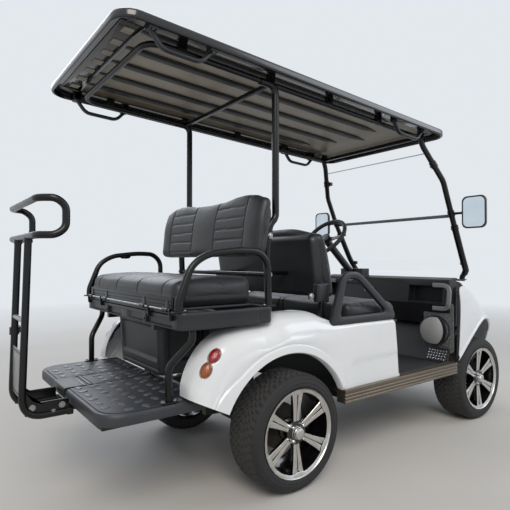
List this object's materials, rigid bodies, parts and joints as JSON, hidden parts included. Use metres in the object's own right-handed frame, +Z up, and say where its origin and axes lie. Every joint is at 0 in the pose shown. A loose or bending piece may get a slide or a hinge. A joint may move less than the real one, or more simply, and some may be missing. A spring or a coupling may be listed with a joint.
{
  "type": "four-seat golf cart",
  "caption": "Low-speed golf cart with a front bench, a rear flip seat with footrest and grab bar, and a ribbed roof on bent struts.",
  "frame": {"origin": "on the ground, in the middle of the overall length and width", "axes": "+X points forward, +Y to the driver's side (left), +Z up"},
  "size_m": [3.1502, 1.52, 2.0687],
  "materials": {
    "black_frame": "satin black powder coat",
    "body_white": "gloss white moulded body",
    "dark_plastic": "textured dark grey",
    "roof_plastic": "semi-gloss black",
    "seat_vinyl": "black quilted vinyl",
    "rocker_metal": "grooved, warm grey",
    "rim_metal": "machined faces, black insets",
    "tyre_rubber": "road tread",
    "clear_sheet": "clear acrylic",
    "lamp_red": "red and amber lenses",
    "lamp_clear": "clear lens",
    "speaker_grille": "perforated grille",
    "steel_parts": "dark steel",
    "battery_case": "black case"
  },
  "bodies": {
    "chassis": {"frame_rails": "black_frame", "cross_members": "black_frame", "tow_eye": "black_frame", "rear_axle": "steel_parts", "leaf_springs": "steel_parts", "front_axle": "steel_parts", "rack_housing": "steel_parts", "floor_pan": "dark_plastic", "rocker_panels": "rocker_metal", "seat_box": "dark_plastic", "battery_pack": "battery_case", "front_seat_back": "seat_vinyl", "rear_body_left": "body_white", "rear_body_right": "body_white", "tail_lamps": "lamp_red", "rear_frame": "black_frame", "rear_tray": "dark_plastic", "armrest_hoops": "black_frame", "rear_backrest": "seat_vinyl", "storage_box": "dark_plastic", "footrest_deck": "dark_plastic", "deck_struts": "black_frame", "hitch_receiver": "black_frame", "grab_bar": "black_frame", "roof": "roof_plastic", "roof_rails": "black_frame", "roof_bars": "black_frame", "roof_handles": "black_frame", "rear_struts": "black_frame", "front_pillars": "black_frame", "windshield": "clear_sheet", "mirrors": "dark_plastic", "front_cowl": "body_white", "front_bumper": "dark_plastic", "headlights": "lamp_clear", "dashboard": "dark_plastic", "steering_column": "black_frame", "pedals": "steel_parts", "speakers": "speaker_grille", "hip_restraints": "dark_plastic"},
    "wheel_rear_left": {"tyre_rear_left": "tyre_rubber", "rim_rear_left": "rim_metal"},
    "wheel_rear_right": {"tyre_rear_right": "tyre_rubber", "rim_rear_right": "rim_metal"},
    "wheel_front_left": {"tyre_front_left": "tyre_rubber", "rim_front_left": "rim_metal"},
    "wheel_front_right": {"tyre_front_right": "tyre_rubber", "rim_front_right": "rim_metal"},
    "steering_knuckle_left": {"knuckle_left": "steel_parts"},
    "steering_knuckle_right": {"knuckle_right": "steel_parts"},
    "steering_rod": {"tie_rod": "steel_parts"},
    "hand_wheel": {"steering_wheel": "dark_plastic"},
    "flip_seat": {"rear_seat_base": "dark_plastic", "rear_seat_cushion": "seat_vinyl"},
    "seat_lid": {"front_seat_base": "dark_plastic", "front_seat_cushion": "seat_vinyl"}
  },
  "joints": [
    {"name": "spin_rear_left", "type": "hinge", "parent": "chassis", "child": "wheel_rear_left", "pos_m": [-0.48, 0.507, 0.274], "axis": [0, 1, 0], "continuous": true},
    {"name": "spin_rear_right", "type": "hinge", "parent": "chassis", "child": "wheel_rear_right", "pos_m": [-0.48, -0.507, 0.274], "axis": [0, 1, 0], "continuous": true},
    {"name": "spin_front_left", "type": "hinge", "parent": "steering_knuckle_left", "child": "wheel_front_left", "pos_m": [1.19, 0.507, 0.274], "axis": [0, 1, 0], "continuous": true},
    {"name": "spin_front_right", "type": "hinge", "parent": "steering_knuckle_right", "child": "wheel_front_right", "pos_m": [1.19, -0.507, 0.274], "axis": [0, 1, 0], "continuous": true},
    {"name": "steer_left", "type": "hinge", "parent": "chassis", "child": "steering_knuckle_left", "pos_m": [1.19, 0.43, 0.274], "axis": [0, 0, 1], "range_deg": [-28, 28]},
    {"name": "steer_right", "type": "hinge", "parent": "chassis", "child": "steering_knuckle_right", "pos_m": [1.19, -0.43, 0.274], "axis": [0, 0, 1], "range_deg": [-28, 28]},
    {"name": "rod_slide", "type": "slide", "parent": "chassis", "child": "steering_rod", "axis": [0, -1, 0], "range_m": [-0.05376, 0.05376]},
    {"name": "hand_wheel_turn", "type": "hinge", "parent": "chassis", "child": "hand_wheel", "pos_m": [0.58, 0.27, 1.25], "axis": [-0.7431, 0, 0.6691], "range_deg": [-336, 336]},
    {"name": "rear_seat_flip", "type": "hinge", "parent": "chassis", "child": "flip_seat", "pos_m": [-1.097, 0, 0.8783], "axis": [0, -1, 0], "range_deg": [0, 180]},
    {"name": "front_seat_tip", "type": "hinge", "parent": "chassis", "child": "seat_lid", "pos_m": [0.333, 0, 0.711], "axis": [0, 1, 0], "range_deg": [0, 75]}
  ],
  "couplings": [
    {"joint": "steer_right", "follows": "steer_left", "ratio": 1},
    {"joint": "rod_slide", "follows": "steer_left", "m_per_rad": 0.11},
    {"joint": "hand_wheel_turn", "follows": "steer_left", "ratio": 12}
  ]
}
